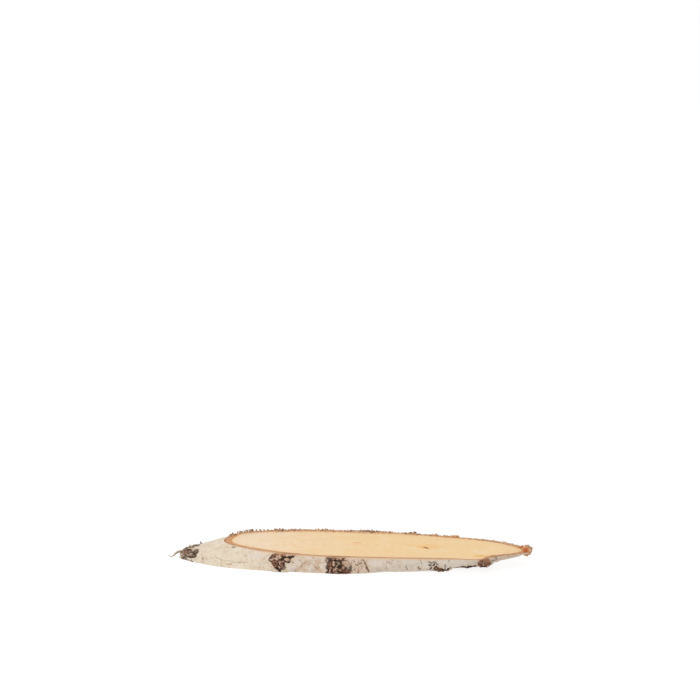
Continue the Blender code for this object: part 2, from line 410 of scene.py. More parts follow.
inner_bark.paint(inner_bark.mark("scarred"), (164, 114, 78), inner_bark.step(crumbs, 0.62, 0.38, 0.25, 0.85))
inner_bark.done(crumbs, 0.0006, 0.7)

rows, marks = rim_rows()
rim = skin("inner_bark", rows, inner_bark, marks, closed=True)
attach(rim, "root")
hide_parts("birch_slice")


# The white bark: the papery outer skin of the birch, grown round the whole trunk. Where
# branches died and fell it is split by scars of dark, cracked cork that stand out from
# it, and fine lines run round it.
MM = 0.001
BARK_STATIONS = 1500
BARK_ROWS = 32
# Each scar of a lost branch: angle, height, half its length, half its height, how far it stands out.
SCARS = (
    (-66, 0.0085, 0.0095, 0.0085, 0.0016), (-61, 0.0140, 0.0100, 0.0030, 0.0010),
    (-87, 0.0080, 0.0130, 0.0095, 0.0020), (-76, 0.0010, 0.0090, 0.0025, 0.0046),
    (-97, 0.0010, 0.0060, 0.0025, 0.0022), (-125.5, 0.0070, 0.0050, 0.0080, 0.0012),
    (-141, 0.0020, 0.0085, 0.0035, 0.0050), (-160, 0.0030, 0.0100, 0.0040, 0.0030),
    (-163, 0.0056, 0.0090, 0.0070, 0.0042), (-167, 0.0040, 0.0070, 0.0040, 0.0066),
    (-37, 0.0010, 0.0060, 0.0025, 0.0022), (-14, 0.0035, 0.0120, 0.0045, 0.0024),
    (9, 0.0024, 0.0070, 0.0028, 0.0014), (62, 0.0080, 0.0100, 0.0080, 0.0018),
    (97, 0.0070, 0.0120, 0.0100, 0.0022), (131, 0.0090, 0.0070, 0.0060, 0.0014),
)
# Smooth bulges of the bark under the right tip, by the same five numbers.
BULGES = (
    (-167.3, 0.0072, 0.0040, 0.0027, 0.0020), (-165, 0.0115, 0.0180, 0.0060, 0.0017),
    (180, 0.0138, 0.0060, 0.0040, 0.0030),
)
SCAR_GRAIN = 260.0
SCAR_ROUGHNESS = 0.6
# How far the bark's face rises or falls by itself, and the cork's ridges and the fine lines on it.
FACE_RISE = 0.00022
FACE_GRAIN = 0.011
FINE_RISE = 0.00006
FINE_GRAIN = 0.0016
RIDGE_RISE = 0.0016
CORK_GRAIN_RISE = 0.0003
LINE_DEPTH = 0.00025
# Each scar's cork: how grey it is, and its outline as angle and height in millimetres.
SCAR_OUTLINES = (
    (0.9, ((5.5, -1), (9.75, 0.5), (10.25, 1.25), (10.75, 1.75), (8.5, 2.25), (12.75, 2.25), (4, 3.75),
           (14, 3.25), (17.75, 4.25), (1.5, 6.75), (-1.25, 5.5), (-12.5, 4.75), (-5, 4), (-14.25, 3.75),
           (-17, 4.5), (-14.75, 5.25), (-11.5, 6.5), (-22.25, 5.75), (-30.25, 3.75), (-36.25, 1.25),
           (-31, 1.75), (-30.5, 1), (-37, -1), (-38.75, -1), (-35, -1), (-31, -1), (-26.75, 0.5),
           (-21.75, 0.75), (-11.5, 0.25), (1.5, -1))),
    (0, ((-53.75, 14.75), (-54.25, 16), (-55.25, 16), (-56.75, 16), (-58.75, 16), (-60.25, 14),
           (-61.75, 13.75), (-62, 16), (-64.25, 13.5), (-66, 11.75), (-67.25, 10.5), (-69.5, 8.5),
           (-69.75, 8), (-70.25, 7), (-71.75, 5.75), (-74.25, 4), (-75.75, 2.5), (-76, 1.75), (-78, -1),
           (-77.5, -1), (-75.75, 1), (-73, 2.25), (-71.5, 3.25), (-67.5, 5.75), (-64.5, 7.5),
           (-63.75, 7.75), (-59.5, 10.25), (-56.5, 12.75))),
    (0.1, ((-73.5, 16), (-75, 16), (-76.25, 16), (-78, 16), (-79.75, 16), (-82.25, 13.5), (-84.75, 12.5),
           (-89.25, 9.75), (-93.25, 7), (-98.5, 2.75), (-101, 0.25), (-99, 0.5), (-96.25, -1),
           (-92.5, 0.25), (-89.5, 3.25), (-87, 4.75), (-82, 9), (-78.5, 11.5), (-76.25, 12.75))),
    (0.1, ((-126.25, 6.75), (-124.5, 8.5), (-128, 6.75), (-131.5, 5.25), (-133.25, 5), (-135.5, 5),
           (-138.5, 3.75), (-136.25, 3.25), (-136.5, 2), (-133, 3))),
    (0, ((-131.25, 16), (-134.25, 16), (-148.25, 12), (-157, 9.25), (-167.75, 5.25), (-165, 5.5),
           (-164.75, 3), (-151.75, 7.75))),
    (0, ((-149.75, 4.25), (-152.75, 5.5), (-160.5, 4.5), (-165, 3), (-167, -1), (-155, -1))),
    (0.3, ((55, 3), (60, 1), (68, 3), (73, 8), (70, 14), (62, 13), (56, 9))),
    (0.2, ((88, 2), (96, 0.5), (104, 3), (108, 8), (101, 13), (92, 12), (87, 7))),
    (0.5, ((126, 6), (132, 5), (137, 9), (133, 13), (127, 11))),
)
PEPPERED = ((-82, 15.5), (-85.5, 15.5), (-94, 11), (-104, 3), (-105.5, -1), (-99, -1), (-91, 4), (-84, 10))
# Strokes of each kind on the bark: width in millimetres, then angle and height in millimetres of each bend.
STROKES = {
    "dark": (
        (2.2, -21, 2.5, -25.75, 1.75), (1.8, -13, 3.75, -16.75, 3), (1.8, 5.25, 0, -2.5, 0.75),
        (1.6, -8.5, 1.75, 2.5, 1.25, -14.5, 4), (1.8, -18.75, 2.25, -25.25, 2, -29.25, 1.25),
        (1.6, 8, 1.25, -15, 4.25), (1.6, -22.75, 2.5, -25.25, 3, -30.25, 1.75),
        (1.8, -19.25, 4.5, -27.25, 3.5, -32, 1.75), (1.8, -16.75, 5.75, -23.25, 5.5, -28, 4, -34.5, 1.75),
        (2, -11.75, 2, -18.25, 2.25), (1.4, 6.25, 1.25, 1.5, 1.75), (2.6, -8.25, 3, -12.75, 3.5),
        (1.6, 10.25, 1.75, 3.25, 2.5), (1.6, 9, 2.75, 6.75, 3.25), (1.6, -4.25, 4.5, 14.75, 3.25),
        (1.6, 14.75, 3.25, 10.75, 5.5), (2.6, -19.75, 3.75, -20.75, 4), (1.8, -21, 2.75, -21, 3.25),
        (3, -21.25, 1.75, -26.25, 1.25), (2.2, -17.75, 1.5, -22.5, 1.25), (2.4, -20.5, 5.5, -23.75, 5),
        (3, -24.5, 4.25, -26.75, 4), (1.8, -27.25, 4.25, -29.25, 3.75), (2.4, -29, 3, -32.5, 2.25),
        (2.4, -27.75, 2, -28.75, 2.25), (2, -26.25, 1.75, -26.75, 2), (1.8, -26.5, 0.75, -30, 0.25),
        (1.8, -37, 0, -38.5, 0), (1.6, -16.25, 5.75, -14.75, 6.25), (1.8, -20, 4.5, -23.25, 4.25),
        (1.4, -29.5, 2.25, -29.25, 2.75), (2.4, -57.25, 12.5, -59.75, 10.5),
        (1.6, -59.75, 10.5, -63.25, 8.25), (2, -58, 12.75, -60, 11.75), (1.6, -63.25, 10.5, -63.75, 10.5),
        (3, -60.75, 13, -64.25, 10.75), (2.8, -63, 11.75, -62.5, 12.75),
        (2.4, -62.5, 12.75, -62.75, 13, -62.5, 13.75), (5, -63, 13.25, -62.75, 13.5),
        (5.2, -62.5, 14.25, -62.25, 14.75), (1.8, -63, 13.75, -64.75, 12.5), (2, -66.5, 11, -68.25, 9.5),
        (3, -68.25, 9.5, -69.25, 8.5), (2, -69.25, 8.5, -67.5, 9.25, -66.25, 9.75),
        (1.6, -65.75, 7.75, -67, 7), (1.4, -70.25, 5.25, -67.5, 7.5), (2.6, -69.5, 7.25, -72, 5.25),
        (3.2, -72, 3.25, -73.5, 2.5), (3.4, -73.5, 2.5, -75.75, 1.5, -77.25, 0.25),
        (1.6, -63.75, 10.75, -68.25, 7.75), (1.4, -64.5, 9, -66, 8.75), (1.4, -71, 5, -73.5, 3.5),
        (1.6, -75, 14, -76.5, 13), (1.8, -76, 14.25, -80.5, 10.5),
        (2.2, -81.75, 9.5, -85, 6.75, -87.5, 4.75), (1.8, -80.75, 11.25, -84.75, 8.25),
        (1.8, -78.5, 12.5, -80.5, 11.25), (2.4, -88.75, 4.25, -90.75, 2.5), (2, -92, 1, -92, 0.75),
        (2.8, -91.75, 2.5, -89.75, 4.25), (1.8, -93.25, 1.5, -94, 0.5), (2.6, -80.5, 12.25, -81.25, 12.5),
        (3, -81.25, 12.5, -82.5, 12, -84.75, 10.75), (2.8, -84.75, 10.75, -82.5, 13),
        (1.8, -83.75, 10, -84.5, 9.5), (3, -85.75, 8.75, -87.75, 6.75, -89, 5.5),
        (2, -89.25, 5.25, -87.25, 6.5), (2.2, -89.75, 6, -92, 4.75), (2.8, -88.75, 7.25, -93, 4.5),
        (2.8, -94.75, 2.25, -96, 1.75), (3.8, -94.75, 3, -95.75, 2.75), (3.4, -95.75, 2.75, -98.25, 1.25),
        (2.6, -87.25, 9, -90.5, 7.25, -91.5, 6.75), (2, -93.5, 6.25, -94.5, 5.75),
        (2.4, -97.75, 2, -99.25, 1), (2.2, -96, 4, -98, 2.75),
        (2.2, -88.75, 6.75, -87.75, 8.25, -89.75, 7.5), (2.4, -92.5, 4.5, -94.5, 3.75, -97.25, 2.25),
        (2, -91.75, 5.75, -94, 4.75, -97.25, 2.75), (2, -93.25, 3.25, -96.5, 1.5),
        (1.4, -75.75, 15, -76.5, 14.5), (1.4, -83.75, 12.75, -85.25, 12), (1.4, -95.25, 1, -96.25, 0.75),
        (1.9, -85, 14.75), (1.2, -92.25, 10, -91.75, 11), (1.4, -93.25, 8.5), (1.2, -96.75, 6),
        (1.2, -88, 11.75), (1, -85.25, 13.25), (1, -96, 7.25, -95.75, 7.75), (1, -97.5, 4.5),
        (1, -92.5, 7.75), (1.1, -97.5, 7.75, -100, 5.75), (1.4, -98.5, 6.75, -102, 4.5, -105.25, 2.25),
        (2.8, -121.75, 8.75, -122.5, 8.75, -123.75, 8.5), (2.8, -132, 2.5, -126.75, 6),
        (3, -126.5, 7.25, -127.75, 6.5), (3.2, -129, 5.25, -133.25, 3.5), (3, -132, 4.5, -133.25, 4.25),
        (3.4, -135.75, 3, -135.25, 4), (3.2, -134.75, 4.5, -136.75, 4.25), (3, -137.75, 4.5, -138.5, 4.75),
        (2, -120.75, 10.75, -123.5, 8.75), (1, -141.25, 4.25, -155, 0.75, -153.5, 3.25),
        (2.6, -153.75, 3, -154.25, 3.75, -156, 4.25), (2.4, -155.25, 6.75, -157.5, 6.75, -161, 5.75),
        (1.1, -154.5, 1.5, -152.5, 3.5), (1.1, -154.75, 4.75, -163.25, 3.25),
        (3.6, -164.75, 3, -162.25, 4.75), (3.6, -162.25, 4.75, -163.25, 5.5, -166.5, 5.25),
        (1.4, -158.25, 4.25, -162.75, 3.25), (2.2, -160.5, 7.5, -159.5, 8.25, -158.75, 9),
        (1.2, -156.25, 10.25, -156, 11), (1.8, -145.25, 15, -152.5, 12.75), (1.5, -157, 14.25, -157, 14.5),
        (2.4, 58, 6, 66, 10), (2, 60, 11, 69, 6.5), (2.6, 92, 5, 102, 8), (2, 89, 9, 99, 11),
        (1.8, 128, 8, 133, 10),
    ),
    "grey": (
        (2, -31.75, 0.5, -35.5, 0), (2.2, -16.75, 5, -19.25, 5.5), (2, -24.75, 2.25, -19.25, 2.25),
        (3, -73, 4.5, -74.5, 3.5), (1.6, -59.75, 11.5, -62.25, 10.25), (2.8, -82.75, 11, -84.5, 10.25),
        (2, -83.75, 7.5, -87.25, 4.75), (3, -92.75, 6, -94.5, 5), (2.4, -77.5, 12.75, -80, 10.5),
        (2, -91.25, 8, -95.75, 4.75), (2, -99, 2, -97.25, 3.75), (2.6, -116, 12.5, -118.75, 11.25),
        (2.4, -117.75, 12.5, -120.25, 11.5, -124.75, 9), (2.2, -129.25, 3.5, -132, 2.5),
        (2, -136, 1, -135.5, 1.75), (1.6, -127.5, 9, -135, 5), (1.2, -120.25, 15, -122.75, 13.25),
        (1, -140.75, 4.25, -152.25, 1.75), (2.4, -156.75, 9.5, -159, 9.75, -155.25, 11.75),
        (1.6, -154.5, 12.25, -155.25, 13), (0.9, 15, 5.5, 16, 8.5, 16, 12, 15, 15),
    ),
    "pale": (
        (1.8, -131, 4.75), (1.2, -16.5, 1.25, -24.5, 1.25), (1, -134, 3.5, -134.75, 3.25),
        (1.4, -126, 6.75, -131.75, 3.5), (2.6, -11, 4.25, -13.25, 4.5), (2.4, -25.5, 3, -25, 3.5),
        (1.6, 8.5, 0.25, 7.25, 0.75), (1.4, -12.25, 5.5, -13.5, 5.75), (1.4, -29, 1.25, -30.75, 1.25),
        (3, -57, 14.5, -61.25, 12), (2.4, -58.75, 13, -60, 12.25), (1.8, -62.5, 10.5, -60.5, 11.25),
        (2.4, -62, 9.5, -61.25, 10.25), (3.2, -64.75, 11.25, -66.25, 10.75), (1.4, -71.5, 4.25, -72.25, 4),
        (1.4, -66.25, 8.5, -69.75, 6), (1.6, -60.75, 14.25, -61, 14.75), (1.6, -90, 3.5, -91.5, 2.25),
        (2.4, -81.75, 11, -85.25, 8.25), (1.8, -86.25, 8.75, -87.5, 7.25), (2.4, -89.5, 5.5, -90.75, 4),
        (4.4, -85.5, 10.75, -87.75, 9.75, -90.25, 8.25), (2, -90.5, 6.75, -91.75, 6),
        (1.6, -95.5, 3.5, -96.25, 3), (2.6, -85, 11.75, -88.25, 10), (1.6, -79, 14.25, -80, 14),
        (1.4, -94, 3.25, -93, 3.75), (1, -160.5, 6.75, -161.25, 6.75),
    ),
    "rust": (
        (2.6, -10.5, 1.75, -18.25, 2), (2.4, -8, 1.25, -13, 2, -18.5, 2.5), (2, -15.25, 1.75, -11.5, 1.25),
        (1.6, -12.75, 2.75, -16.75, 3), (0.8, -51.25, 2.5, -52, 2.25),
        (1.2, -54.25, 2.75, -55, 2.75, -55.25, 3.25), (2.4, -55.25, 15, -57.75, 13.25),
        (3.4, -57.5, 14.75, -58.25, 15), (2.2, -64.75, 8, -67.5, 6.75, -69.75, 4.75),
        (2.4, -67.5, 8, -70.5, 6), (1.6, -54.75, 14.5, -56.75, 13.25), (3.2, -84, 8.25, -86.5, 6.25),
        (2, -82.75, 9.5, -86.5, 6.75), (2.8, -78.5, 14.5, -79.25, 14.5), (1.8, -77, 14.75, -77, 15),
        (2.2, -94, 4.25, -97.25, 2), (1.6, -88, 8.5, -90.25, 7.25), (2.4, -97.25, 2.75, -99.75, 1.25),
        (3, -92.75, 4.5, -97.5, 2), (1, -93.25, 10.5, -95.5, 9), (1.2, -108.5, 15, -116.5, 10.25),
        (1, -89.5, 13.25, -95.5, 9.25), (2.4, -148.5, 10.5, -152, 10), (2.2, -154, 8.75, -153, 9.5),
        (3, -133, 14.75, -149.5, 9.25), (3.2, -156, 8.5, -160, 7, -164, 6), (2.6, -131, 4.5, -136, 3.5),
    ),
    "tan": (
        (3, -153.75, 10.25, -152.5, 11.5, -147.5, 14), (3.2, -151, 15, -156.75, 15, -162, 14.5, -166, 14),
        (2.6, -129, 6.5, -132.5, 5.25), (2, -121, 10, -120.75, 10.5),
        (2.4, -13.75, 0.25, -20.25, 0.5, -24.25, 0.75), (1.6, -30, 0.25, -32.5, 0.5),
        (2, -29.75, 5.25, -43.25, 1.25), (1.2, -21.75, 11.5, -26.25, 12.25, -27.25, 13.5),
        (1.6, -36.5, 4.25, -41, 3), (1.6, -39, 2.75, -42.5, 1.25), (1.4, -49.75, 3.25, -53.5, 1.5),
        (3, -79.25, 3.5, -77, 6), (3, -78, 6, -76, 8), (2.6, -81, 3, -83, 2.25),
        (3, -80, 7.25, -84.75, 4.25), (2.6, -86.5, 3, -86, 2.75), (1.6, -78.25, 3.25, -81.5, 1),
        (1.6, -80, 5.5, -77.25, 8), (2.6, -87.5, 10.25, -90.75, 8.25), (3, -94, 8.5, -92.5, 10.5),
        (3, -97.5, 5.25, -98.25, 5.5), (2.6, -95, 6.5, -93.5, 8), (1.2, -96.5, 7.75, -100, 5.5),
        (1.6, -89.5, 14, -89.75, 14.75), (2, -99.25, 12.25, -102.5, 11), (2, -107.5, 9.5, -112.75, 6.5),
        (2, -166.5, 14, -172.5, 13.75), (1.2, -89.25, 14.25, -90, 14.5), (2.4, -88.5, 13.75, -89, 13.75),
        (1.8, -80, 3.25, -78.25, 5.5), (3.2, -76, 10.75, -78.25, 10), (2.2, -86, 2.75, -87.5, 2),
        (2.6, -73.75, 8.75, -75.75, 8), (2, -77.5, 7, -74.25, 10), (2.6, -79.5, 2.5, -80.75, 2),
        (1.6, -83.5, 5.75, -88.5, 2),
    ),
    "thread": (
        (2.6, -28, 14.25, -29.5, 14.25), (1.2, -35, 4, -38, 3), (0.5, -60, 7.5, -66.25, 3.5),
        (0.6, -45.25, 11.75, -54.75, 7.5), (1, -97.5, 15, -99, 14), (1, -113.75, 7.5, -122.25, 2.5),
        (1.3, -120.75, 6.5, -127.25, 2.5), (1.3, -108.25, 3), (0.8, -105.25, 7.5, -109.25, 4.75),
        (0.7, -37.75, 6.25, -42, 5.5, -44.75, 5.25), (0.8, -45.25, 5, -47.5, 4.75),
        (0.8, -48.25, 5, -50.25, 5.25), (0.7, -50.75, 5, -53.5, 4.75, -55.5, 5, -57, 5.5, -57.25, 6.25),
        (0.6, -36.75, 3, -35.25, 3.75), (0.5, -42.75, 1.75, -38, 3.5), (0.9, -55, 0.75, -55.5, 0.75),
        (0.6, -50, 0, -50.5, 0.25), (0.35, -41, 13.25, -47.5, 10.75, -52.75, 8.5),
        (0.45, -59.5, 7.75, -64, 5, -66, 3.75), (0.4, -41.5, 1.25, -45.25, 1),
        (0.4, -69.25, 15, -72, 13.25), (0.5, -77.5, 5.25, -76, 7, -74.75, 8.5), (1, -84.5, 15, -85.5, 14.5),
        (0.5, -86.25, 13, -88.75, 11.5), (0.5, -94.25, 8, -93.25, 9.5), (0.5, -90.75, 10.5, -94.25, 8.5),
        (0.4, -91.75, 9, -94, 7.75), (0.5, -97.75, 5.5, -96.75, 6.75), (0.5, -87.25, 14.25, -90.25, 12.5),
        (0.6, -97.5, 15, -99.75, 13.5), (0.35, -98.75, 13.5, -102.75, 10.25),
        (0.45, -108.5, 15, -112, 12.75, -116.25, 10), (0.45, -113.5, 7.25, -118.75, 4),
        (0.5, -120, 6.5, -127.25, 2.75), (0.5, -107.25, 3.25, -108.75, 2.5), (0.3, -105, 7.5, -109.25, 4.5),
        (0.4, -116.75, 14, -119.75, 12.25), (0.8, -146.5, 14.5, -157.75, 10.75),
        (0.5, -126.25, 14.75, -127.75, 14), (0.35, -126.75, 12.25, -132.5, 9.25),
        (0.35, -125, 14.25, -130, 11.25), (0.8, -74.75, 8.5, -72.75, 10.75), (0.7, -79.25, 4, -74.5, 8.5),
        (1, -69, 15, -71.5, 13.5), (0.8, -82.25, 5.5, -86, 3.5), (0.7, -81.75, 6.5, -84.25, 5.25),
        (0.8, -68, 10, -72.5, 7.75), (0.6, -65.5, 12.25, -65, 13.5, -65, 14.75), (1.3, -81.25, 1),
        (1.1, -84.5, 1.75), (1.1, -87.5, 14.5, -92, 11.5), (1.5, -92, 11.5, -98.25, 7.25),
        (2, -98.25, 7.25, -105.75, 2), (1, -83.25, 1), (0.6, -71.75, 12.25, -77.25, 8.25),
        (0.6, -67.5, 12.25, -72.5, 9.5), (0.9, -98, 14.75, -99.5, 14), (0.6, -103, 9.25, -115.25, 1.25),
        (1, -108.75, 15, -117.25, 9.75), (1, -122, 5.75, -126.75, 3.25), (0.7, -117.5, 5.5, -123, 2.25),
        (0.8, -108.5, 3.25, -111.5, 2.5), (0.6, -100.5, 14.5, -105, 11.5),
        (0.6, -106, 13.75, -114.25, 8.75),
    ),
    "white": (
        (4.5, -70.75, 9.5, -73.5, 8), (4, -80, 6, -82.75, 4), (4, -82, 7.5, -85, 5.25),
        (1.8, -79.75, 10.25, -87, 4.75), (5.5, -95.25, 11, -99.5, 10), (4, -105.75, 12.25, -111.25, 11.5),
        (5, -111.25, 13.5, -120.75, 8.5), (4.5, -75.5, 4, -77.75, 3.5), (3, -69, 13.75, -70.75, 13.5),
        (4, -119.5, 13, -124, 11.5), (4, -127.5, 12.25, -142.25, 8.75), (4, -49.75, 10.75, -54.75, 11.25),
        (3, 4.75, 8.25, -4.75, 14),
    ),
    "lilac": (
        (3, -84.5, 3, -85.5, 2.25), (3, -103.75, 5.5, -107, 4.25), (3, -100.25, 11.75, -102, 11.25),
        (2.6, -123, 4.75, -126.75, 3.25), (3, -65, 10.5, -67, 10), (3.2, -78.75, 2, -81, 1.25),
        (2.6, -162, 9.5, -157.5, 12.5, -157.25, 14, -159, 14.5), (2.2, -158.25, 14.75, -164, 14.25),
    ),
    "inner": (
        (4.4, -131.5, 15, -137.25, 14, -151.75, 10.75), (2.6, -55.75, 15, -57.25, 15),
        (2, -58.25, 15, -59.5, 15),
    ),
}
# A kind's share of the widths above, and its share of the wobble that bends each stroke.
THINNER = {"dark": 0.72}
STRAIGHTER = {"thread": 0.3}
WOBBLE = 0.0006
WOBBLE_LENGTH = 0.0017
FINEST_STROKE = 0.9  # in millimetres; a finer one is painted this broad, and fainter
SCAR_EDGE = 0.0009  # over this far an outline fades out
PEPPER_EDGE = 0.0030
FOLD_SIZE = 0.0025  # of the cork's ridges, which swirl as well
SWIRL_SIZE = 0.0040
SWIRL = 0.0024


def outward(angle):
    """Square to the trunk's side."""
    turn = np.radians(angle)
    steps = (-math.sin(SAW_SLANT) * np.cos(turn), np.sin(turn), math.cos(SAW_SLANT) * np.cos(turn))
    return np.stack(steps, axis=-1)


def angle_of(points):
    """The angle round the trunk of points on the bark."""
    axis = PITH_FOOT[0] + points[..., 2] / math.tan(SAW_SLANT)
    away = (axis - points[..., 0]) * math.sin(SAW_SLANT)
    return np.degrees(np.arctan2(points[..., 1] - PITH_FOOT[1], away))


def beside(points, start, end):
    """How far each point lies from the straight line between a start and an end."""
    way = end - start
    share = np.clip((points - start) @ way / max(way @ way, 1e-12), 0.0, 1.0)
    return np.linalg.norm(points - start - share[..., None] * way, axis=-1)


def strokes(points, lines, thinner):
    """How strongly each point lies on one of the strokes, 0 to 1."""
    strength = np.zeros(points.shape[:-1])
    for width, *course in lines:
        width = width * thinner
        broad = max(width, FINEST_STROKE)
        bends = np.reshape(course + course[-2:], (-1, 2))
        places = trunk_point(bends[:, 0], bends[:, 1] * MM / THICKNESS)
        for start, end in zip(places, places[1:]):
            gap = beside(points, start, end) / (broad * MM / 2)
            strength = np.maximum(strength, np.clip(1.6 - 0.6 * gap - 0.5 * gap**2, 0.0, 1.0) * width / broad)
    return strength


def within(points, outline, soft):
    """1 inside the outline, 0 outside it, blurred over a soft edge in metres."""
    angle, height = angle_of(points), points[..., 2] / MM
    inside = np.zeros(angle.shape, dtype=bool)
    nearest = np.full(angle.shape, 1.0)
    corners = np.array(outline, dtype=float)
    for (a, low), (b, high) in zip(corners, np.roll(corners, -1, axis=0)):
        if a != b:
            crossed = (a > angle) != (b > angle)
            inside ^= crossed & (height < low + (high - low) * (angle - a) / (b - a))
        start, end = trunk_point(np.array((a, b)), np.array((low, high)) * MM / THICKNESS)
        nearest = np.minimum(nearest, beside(points, start, end))
    return np.clip(0.5 + np.where(inside, 0.5, -0.5) * nearest / soft, 0.0, 1.0)


def scar_rise(points):
    """How far the bark stands out at each point, by the scars and bulges near it."""
    spots = [Vector(p) * SCAR_GRAIN for p in points.reshape(-1, 3).tolist()]
    ridges = np.array([noise.turbulence(spot, 2, True) for spot in spots]).reshape(points.shape[:-1])
    rise = np.zeros(points.shape[:-1])
    for bumps, rough in ((SCARS, SCAR_ROUGHNESS), (BULGES, 0.0)):
        for angle, height, half_length, half_height, stands in bumps:
            away = points - trunk_point(float(angle), height / THICKNESS)
            reach = np.hypot(np.hypot(away[..., 0], away[..., 1]) / half_length, away[..., 2] / half_height)
            share = 1.0 - rough + rough * 2.0 * ridges
            rise = np.maximum(rise, np.where(reach < 2.0, stands * share * np.exp(-(reach**3)), 0.0))
    return rise


def bark_marks(face, levels, angle, fine):
    """How strongly each kind of mark shows at each point of the bark's face, with its fine grain."""
    wobble = WOBBLE * np.stack([lumps(face, WOBBLE_LENGTH, 2, seed) for seed in (3.0, 11.0, 23.0)], axis=-1)
    marks = {}
    for kind, lines in STROKES.items():
        marks[kind] = strokes(face + STRAIGHTER.get(kind, 1.0) * wobble, lines, THINNER.get(kind, 1.0))
    marks["cork"] = np.zeros(angle.shape)
    marks["ashen"] = np.zeros(angle.shape)
    for ash, outline in SCAR_OUTLINES:
        scar = within(face + wobble, outline, SCAR_EDGE)
        marks["cork"] = np.maximum(marks["cork"], scar)
        marks["ashen"] = np.maximum(marks["ashen"], ash * scar)
    marks["peppered"] = within(face + wobble, PEPPERED, PEPPER_EDGE)
    swirl = SWIRL * np.stack([lumps(face, SWIRL_SIZE, 1, seed) for seed in (41.0, 53.0, 67.0)], axis=-1)
    folds = np.abs(lumps((face + swirl) * (1.0, 1.0, 1.5), FOLD_SIZE, 3, 7.0))
    # How high the cork's folds stand; the colour follows it, so the low cracks carry painted shade.
    fold_height = 0.43 + 0.8 * (folds - 0.22) + 0.24 * fine
    marks["ridge"] = np.clip(fold_height - 0.40 * marks["dark"] + 0.36 * marks["pale"], 0.0, 1.0)
    by_the_lump = near(angle, 180.0, KNOB_SPREAD, 4) * np.clip(3 * levels - 2, 0, 1)
    marks["rust"] = np.maximum(marks["rust"], 0.9 * by_the_lump)
    marks["tan"] = np.maximum(marks["tan"], by_the_lump)
    # A light band along the upper edge of the front: the bark's warm fringe, with painted highlight.
    marks["top"] = along_front(angle) * np.clip((levels - 0.93) / 0.05, 0.0, 1.0) * (1.0 - marks["cork"])
    return marks


def bark_rows():
    """Rows of the white bark: up its face, over its upper edge, and down inside."""
    angles = even_angles(BARK_STATIONS)
    levels = np.linspace(0.0, 1.0, BARK_ROWS)[:, None]
    angle = upright_angle(angles[None, :], levels)
    face = trunk_point(angle, levels)
    fine = lumps(face, FINE_GRAIN, 2, 31.0)
    marks = bark_marks(face, levels, angle, fine)
    corky = np.maximum(marks["cork"], marks["dark"])
    rise = scar_rise(face) + FACE_RISE * lumps(face, FACE_GRAIN, 2, 1.0) + FINE_RISE * fine
    rise += corky * (RIDGE_RISE * (marks["ridge"] - 0.45) + CORK_GRAIN_RISE * fine)
    rise -= LINE_DEPTH * marks["thread"]
    rise = np.maximum(rise, np.where(levels < 0.92, -0.8 * SKIN_BELOW, -0.4 * SKIN))
    shift = outward(angle) * rise[..., None]
    shift[(0, -1), :, 2] = 0.0
    shift[..., 2] = np.maximum(shift[..., 2], -0.8 * face[..., 2])
    outer = face + shift
    torn, knob = torn_height(angle[-1])
    tatter = np.clip(lumps(face[-1], 0.0022, 2, 9.0) + 0.35, 0.0, 1.0)
    outer[-1, :, 2] += torn * tatter * 0.8 + KNOB_HEIGHT * knob * (0.35 + 0.5 * tatter)
    inner = [trunk_point(upright_angle(angles, 1.0), 1.0, SKIN)]
    inner[0][:, 2] = outer[-1, :, 2]
    inner += [trunk_point(upright_angle(angles, level), level, SKIN_BELOW) for level in (0.93, 0.5, 0.0)]
    for name, mark in marks.items():
        marks[name] = np.concatenate((mark, np.repeat(mark[-1:], len(inner), axis=0)))
    return np.concatenate((outer, np.array(inner))), marks


white_bark = Finish("white_bark", roughness=0.72, gloss=0.3)
along = white_bark.split(white_bark.place())[0]
mottle = white_bark.clouds(white_bark.place(turn=LEANING, stretch=(1.6, 1, 1)), 0.006, 4, 0.6)
blush = white_bark.clouds(white_bark.place((0.3, 0, 0)), 0.0040, 3, 0.6)
yellowing = white_bark.clouds(white_bark.place((0, 0.4, 0)), 0.0050, 3, 0.6)
curls = white_bark.clouds(white_bark.place((0, 0, 0.3)), 0.0038, 2, 0.5, 1.4)
fine_lines = white_bark.clouds(white_bark.place(turn=LEANING, stretch=(6, 0.7, 0.7)), 0.0045, 4, 0.6)
pepper = white_bark.clouds(white_bark.place((0, 0.2, 0)), 0.0018, 2, 0.6)
specks = white_bark.cells(white_bark.place(), 0.0024)
fray = white_bark.clouds(white_bark.place(), 0.0016, 4, 0.65)
grain = white_bark.clouds(white_bark.place(turn=LEANING, stretch=(1.5, 1, 1)), 0.0014, 4, 0.7, 0.6)

# The plain skin: warmer at the left, whiter at the right, and blushing in the middle.
# At the right tip it turns darker and greyer again: partly the bark's own grey, partly painted shade.
white_bark.coat = white_bark.ramp(
    white_bark.step(along, -0.16, 0.16), (0.08, 234, 220, 197), (0.34, 222, 203, 181), (0.55, 218, 200, 180),
    (0.73, 221, 207, 190), (0.93, 224, 214, 200), (0.98, 210, 191, 171),
)
white_bark.tint(mottle, 0.44, 0.70, 0.45, (206, 186, 162))
white_bark.tint(mottle, 0.46, 0.30, 0.45, (238, 228, 214))
middle = white_bark.times(white_bark.step(along, -0.105, -0.060), white_bark.step(along, 0.030, 0.012))
blushing = white_bark.plus(white_bark.times(middle, 0.55), 0.35)
white_bark.tint(blush, 0.50, 0.64, blushing, (214, 182, 160))
white_bark.tint(blush, 0.46, 0.34, blushing, (228, 218, 204))
white_bark.tint(yellowing, 0.52, 0.68, 0.4, (222, 206, 168))
curl = white_bark.times(white_bark.step(curls, 0.46, 0.50), white_bark.step(curls, 0.54, 0.50))
white_bark.paint(white_bark.times(curl, blushing), (176, 152, 128), 0.55)
white_bark.tint(fine_lines, 0.56, 0.70, 0.45, (188, 166, 140))
peppered = white_bark.mark("peppered")
white_bark.paint(peppered, (222, 194, 172), 0.5)
white_bark.paint(white_bark.times(white_bark.step(pepper, 0.54, 0.60), peppered), (124, 98, 78), 0.85)
